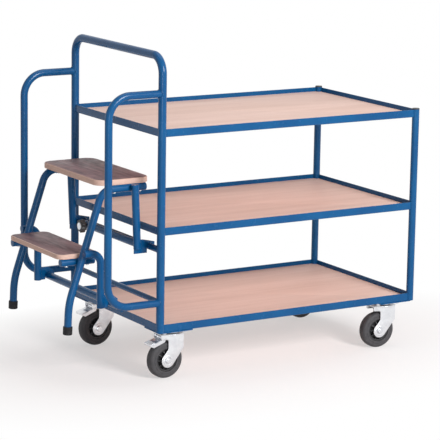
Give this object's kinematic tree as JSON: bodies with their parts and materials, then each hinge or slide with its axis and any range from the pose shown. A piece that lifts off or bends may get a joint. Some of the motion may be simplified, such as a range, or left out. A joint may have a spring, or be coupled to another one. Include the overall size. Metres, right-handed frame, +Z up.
{
  "type": "order picking trolley",
  "caption": "Three-shelf order picking trolley on swivel casters with a push handle, side guard rails and a hang-on two-step unit.",
  "frame": {"origin": "on the floor under the middle of the whole object", "axes": "+X along the shelves away from the steps, +Y towards the far long side, +Z up"},
  "size_m": [1.3228, 0.627, 1.0864],
  "materials": {
    "blue_paint": "gloss",
    "beech_board": "satin",
    "step_plywood": "film faced, anti-slip",
    "black_rubber": "matte",
    "grey_tyre": "matte",
    "black_plastic": "matte",
    "zinc_plate": "zinc plated",
    "zinc_fastener": "zinc plated"
  },
  "bodies": {
    "trolley": {"handle_frame": "blue_paint", "right_post_near": "blue_paint", "right_post_far": "blue_paint", "post_caps": "blue_paint", "lower_shelf_rails": "blue_paint", "middle_shelf_rails": "blue_paint", "upper_shelf_rails": "blue_paint", "lower_shelf_board": "beech_board", "middle_shelf_board": "beech_board", "upper_shelf_board": "beech_board", "shelf_screws": "zinc_fastener", "guard_rail_near": "blue_paint", "guard_rail_far": "blue_paint", "upper_bar": "blue_paint", "low_cross_tube": "blue_paint", "lower_bar": "blue_paint", "corner_plates": "blue_paint", "caster_top_plates": "zinc_plate", "swivel_races": "zinc_plate", "kingpins": "zinc_fastener", "caster_bolts": "zinc_fastener"},
    "near_left_swivel": {"near_left_fork": "zinc_plate", "near_left_axle": "zinc_fastener"},
    "near_left_wheel": {"near_left_wheel_centre": "black_plastic", "near_left_bearing": "zinc_fastener", "near_left_tyre": "grey_tyre"},
    "near_left_brake": {"near_left_brake_pedal": "zinc_plate"},
    "near_right_swivel": {"near_right_fork": "zinc_plate", "near_right_axle": "zinc_fastener"},
    "near_right_wheel": {"near_right_wheel_centre": "black_plastic", "near_right_bearing": "zinc_fastener", "near_right_tyre": "grey_tyre"},
    "far_left_swivel": {"far_left_fork": "zinc_plate", "far_left_axle": "zinc_fastener"},
    "far_left_wheel": {"far_left_wheel_centre": "black_plastic", "far_left_bearing": "zinc_fastener", "far_left_tyre": "grey_tyre"},
    "far_left_brake": {"far_left_brake_pedal": "zinc_plate"},
    "far_right_swivel": {"far_right_fork": "zinc_plate", "far_right_axle": "zinc_fastener"},
    "far_right_wheel": {"far_right_wheel_centre": "black_plastic", "far_right_bearing": "zinc_fastener", "far_right_tyre": "grey_tyre"},
    "step_unit": {"leg_tube_near": "blue_paint", "leg_tube_far": "blue_paint", "upper_step": "step_plywood", "lower_step": "step_plywood", "step_supports": "blue_paint", "rear_tube_near": "blue_paint", "rear_tube_far": "blue_paint", "rear_cross_tube": "blue_paint", "arch_near": "blue_paint", "arch_far": "blue_paint", "upper_hooks": "blue_paint", "lower_hooks": "blue_paint", "foot_caps": "black_rubber", "step_screws": "zinc_fastener"},
    "clamp": {"clamp_screw": "zinc_fastener", "clamp_knob": "black_plastic", "clamp_knob_cap": "zinc_fastener"}
  },
  "joints": [
    {"name": "near_left_swivel", "type": "hinge", "parent": "trolley", "child": "near_left_swivel", "pos_m": [-0.27837, -0.242, 0.1491], "axis": [0, 0, 1], "continuous": true},
    {"name": "near_left_wheel_spin", "type": "hinge", "parent": "near_left_swivel", "child": "near_left_wheel", "pos_m": [-0.30136, -0.2428, 0.062], "axis": [-0.0349, 0.9994, 0], "continuous": true},
    {"name": "near_left_brake_press", "type": "hinge", "parent": "near_left_swivel", "child": "near_left_brake", "pos_m": [-0.31435, -0.24326, 0.1371], "axis": [0.0349, -0.9994, 0], "range_deg": [0, 12]},
    {"name": "near_right_swivel", "type": "hinge", "parent": "trolley", "child": "near_right_swivel", "pos_m": [0.57563, -0.242, 0.1491], "axis": [0, 0, 1], "continuous": true},
    {"name": "near_right_wheel_spin", "type": "hinge", "parent": "near_right_swivel", "child": "near_right_wheel", "pos_m": [0.55268, -0.2404, 0.062], "axis": [0.0698, 0.9976, 0], "continuous": true},
    {"name": "far_left_swivel", "type": "hinge", "parent": "trolley", "child": "far_left_swivel", "pos_m": [-0.27837, 0.242, 0.1491], "axis": [0, 0, 1], "continuous": true},
    {"name": "far_left_wheel_spin", "type": "hinge", "parent": "far_left_swivel", "child": "far_left_wheel", "pos_m": [-0.30134, 0.2408, 0.062], "axis": [-0.0523, 0.9986, 0], "continuous": true},
    {"name": "far_left_brake_press", "type": "hinge", "parent": "far_left_swivel", "child": "far_left_brake", "pos_m": [-0.31433, 0.24012, 0.1371], "axis": [0.0523, -0.9986, 0], "range_deg": [0, 12]},
    {"name": "far_right_swivel", "type": "hinge", "parent": "trolley", "child": "far_right_swivel", "pos_m": [0.57563, 0.242, 0.1491], "axis": [0, 0, 1], "continuous": true},
    {"name": "far_right_wheel_spin", "type": "hinge", "parent": "far_right_swivel", "child": "far_right_wheel", "pos_m": [0.55271, 0.24, 0.062], "axis": [-0.0872, 0.9962, 0], "continuous": true},
    {"name": "steps_lift", "type": "slide", "parent": "trolley", "child": "step_unit", "axis": [0, 0, 1], "range_m": [0, 0.026]},
    {"name": "clamp_turn", "type": "hinge", "parent": "step_unit", "child": "clamp", "pos_m": [-0.37557, 0.152, 0.447], "axis": [-1, 0, 0], "range_deg": [0, 720]}
  ]
}
